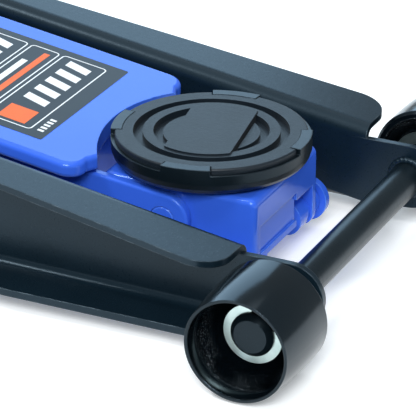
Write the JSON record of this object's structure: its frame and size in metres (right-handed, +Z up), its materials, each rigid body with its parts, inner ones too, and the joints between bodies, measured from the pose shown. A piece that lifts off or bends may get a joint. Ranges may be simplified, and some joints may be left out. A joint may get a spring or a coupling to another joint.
{
  "type": "hydraulic trolley jack",
  "caption": "Low-profile hydraulic trolley jack: folded steel frame, lift arm, swivelling saddle, front rollers, rear casters and pump handle.",
  "frame": {"origin": "middle of the bounding box at floor level", "axes": "+X towards the front rollers, +Y to the jack's left side, +Z up"},
  "size_m": [0.9048, 0.33, 0.7262],
  "materials": {
    "blue_paint": "gloss",
    "black_paint": "satin",
    "gloss_black": "gloss",
    "bright_zinc": "satin",
    "steel": "satin",
    "chrome_rod": "polished",
    "rubber": "matte",
    "grip_foam": "matte",
    "cast_block": "matte",
    "bronze": "satin"
  },
  "bodies": {
    "frame": {"side_plate_left": "black_paint", "side_plate_right": "black_paint", "front_axle": "black_paint", "axle_washers": "bright_zinc", "axle_clips": "bright_zinc", "main_pivot_shaft": "steel", "main_pivot_nuts": "bright_zinc", "main_pivot_spacers": "black_paint", "link_anchor_pins": "black_paint", "cylinder_tube": "steel", "cylinder_gland": "steel", "reservoir": "black_paint", "unit_plate": "black_paint", "filler_plug": "bright_zinc", "pump_block": "cast_block", "safety_valve_plug": "bright_zinc", "block_bolts": "bright_zinc", "yoke_bolts": "bright_zinc", "handle_springs": "steel", "rear_cover": "black_paint", "cover_screws": "bright_zinc", "caster_bracket_left": "black_paint", "caster_bracket_right": "black_paint"},
    "lift_arm": {"arm_cheek_left": "blue_paint", "arm_cheek_right": "blue_paint", "arm_top_plate": "blue_paint", "arm_brace": "blue_paint", "arm_hub": "blue_paint", "crank_pin": "steel"},
    "saddle_carrier": {"saddle_bracket": "blue_paint", "saddle_pivot_pin": "steel", "link_pins": "blue_paint"},
    "saddle": {"saddle_dish": "black_paint", "saddle_clip": "bright_zinc", "saddle_pad": "rubber"},
    "link_left": {"link_rod_left": "blue_paint"},
    "link_right": {"link_rod_right": "blue_paint"},
    "ram": {"ram_rod": "chrome_rod", "ram_head": "steel"},
    "plunger": {"pump_plunger": "chrome_rod"},
    "handle_socket": {"handle_yoke": "black_paint", "roller_pin": "steel"},
    "lobe_roller": {"pump_roller": "steel"},
    "handle": {"handle_lower_tube": "black_paint", "handle_upper_tube": "black_paint", "handle_joint": "bright_zinc", "handle_grip": "grip_foam"},
    "valve": {"release_valve": "bright_zinc"},
    "wheel_left": {"front_wheel_left": "gloss_black", "wheel_bush_left": "bronze"},
    "wheel_right": {"front_wheel_right": "gloss_black", "wheel_bush_right": "bronze"},
    "caster_left": {"caster_fork_left": "black_paint", "caster_nut_left": "bright_zinc", "caster_axle_left": "bright_zinc"},
    "caster_right": {"caster_fork_right": "black_paint", "caster_nut_right": "bright_zinc", "caster_axle_right": "bright_zinc"},
    "caster_wheel_left": {"caster_wheel_left": "gloss_black"},
    "caster_wheel_right": {"caster_wheel_right": "gloss_black"}
  },
  "joints": [
    {"name": "arm_lift", "type": "hinge", "parent": "frame", "child": "lift_arm", "pos_m": [-0.06085, 0, 0.1], "axis": [0, -1, 0], "range_deg": [0, 60]},
    {"name": "carrier_level", "type": "hinge", "parent": "lift_arm", "child": "saddle_carrier", "pos_m": [0.31915, 0, 0.044], "axis": [0, -1, 0], "range_deg": [-60, 0]},
    {"name": "link_left_pivot", "type": "hinge", "parent": "frame", "child": "link_left", "pos_m": [-0.01585, 0, 0.077], "axis": [0, -1, 0], "range_deg": [0, 60]},
    {"name": "link_right_pivot", "type": "hinge", "parent": "frame", "child": "link_right", "pos_m": [-0.01585, 0, 0.077], "axis": [0, -1, 0], "range_deg": [0, 60]},
    {"name": "saddle_turn", "type": "hinge", "parent": "saddle_carrier", "child": "saddle", "pos_m": [0.32715, 0, 0.0645], "axis": [0, 0, 1], "continuous": true},
    {"name": "ram_slide", "type": "slide", "parent": "frame", "child": "ram", "axis": [1, 0, 0], "range_m": [0, 0.056]},
    {"name": "handle_pump", "type": "hinge", "parent": "frame", "child": "handle_socket", "pos_m": [-0.26885, 0, 0.1], "axis": [0, -1, 0], "range_deg": [0, 45], "stiffness_Nm_per_rad": 2, "springref_deg": -68.75},
    {"name": "lobe_roller_turn", "type": "hinge", "parent": "handle_socket", "child": "lobe_roller", "pos_m": [-0.2774, 0, 0.07651], "axis": [0, 1, 0], "continuous": true},
    {"name": "plunger_slide", "type": "slide", "parent": "frame", "child": "plunger", "axis": [1, 0, 0], "range_m": [0, 0.01912]},
    {"name": "handle_twist", "type": "hinge", "parent": "handle_socket", "child": "handle", "pos_m": [-0.26885, 0, 0.1], "axis": [-0.2588, 0, 0.9659], "range_deg": [0, 180]},
    {"name": "release_valve_turn", "type": "hinge", "parent": "frame", "child": "valve", "pos_m": [-0.24685, 0.022, 0.036], "axis": [1, 0, 0], "range_deg": [0, 180]},
    {"name": "front_wheel_left_roll", "type": "hinge", "parent": "frame", "child": "wheel_left", "pos_m": [0.41915, 0.14, 0.0332], "axis": [0, 1, 0], "continuous": true},
    {"name": "front_wheel_right_roll", "type": "hinge", "parent": "frame", "child": "wheel_right", "pos_m": [0.41915, -0.14, 0.0332], "axis": [0, 1, 0], "continuous": true},
    {"name": "caster_left_swivel", "type": "hinge", "parent": "frame", "child": "caster_left", "pos_m": [-0.22885, 0.128, 0.059], "axis": [0, 0, 1], "continuous": true},
    {"name": "caster_left_roll", "type": "hinge", "parent": "caster_left", "child": "caster_wheel_left", "pos_m": [-0.24285, 0.128, 0.022], "axis": [0, 1, 0], "continuous": true},
    {"name": "caster_right_swivel", "type": "hinge", "parent": "frame", "child": "caster_right", "pos_m": [-0.22885, -0.128, 0.059], "axis": [0, 0, 1], "continuous": true},
    {"name": "caster_right_roll", "type": "hinge", "parent": "caster_right", "child": "caster_wheel_right", "pos_m": [-0.24285, -0.128, 0.022], "axis": [0, 1, 0], "continuous": true}
  ],
  "couplings": [
    {"joint": "carrier_level", "follows": "arm_lift", "ratio": -1},
    {"joint": "link_left_pivot", "follows": "arm_lift", "ratio": 1},
    {"joint": "link_right_pivot", "follows": "arm_lift", "ratio": 1},
    {"joint": "ram_slide", "follows": "arm_lift", "m_per_rad": 0.053476},
    {"joint": "plunger_slide", "follows": "handle_pump", "m_per_rad": 0.024339},
    {"joint": "release_valve_turn", "follows": "handle_twist", "ratio": 1}
  ]
}
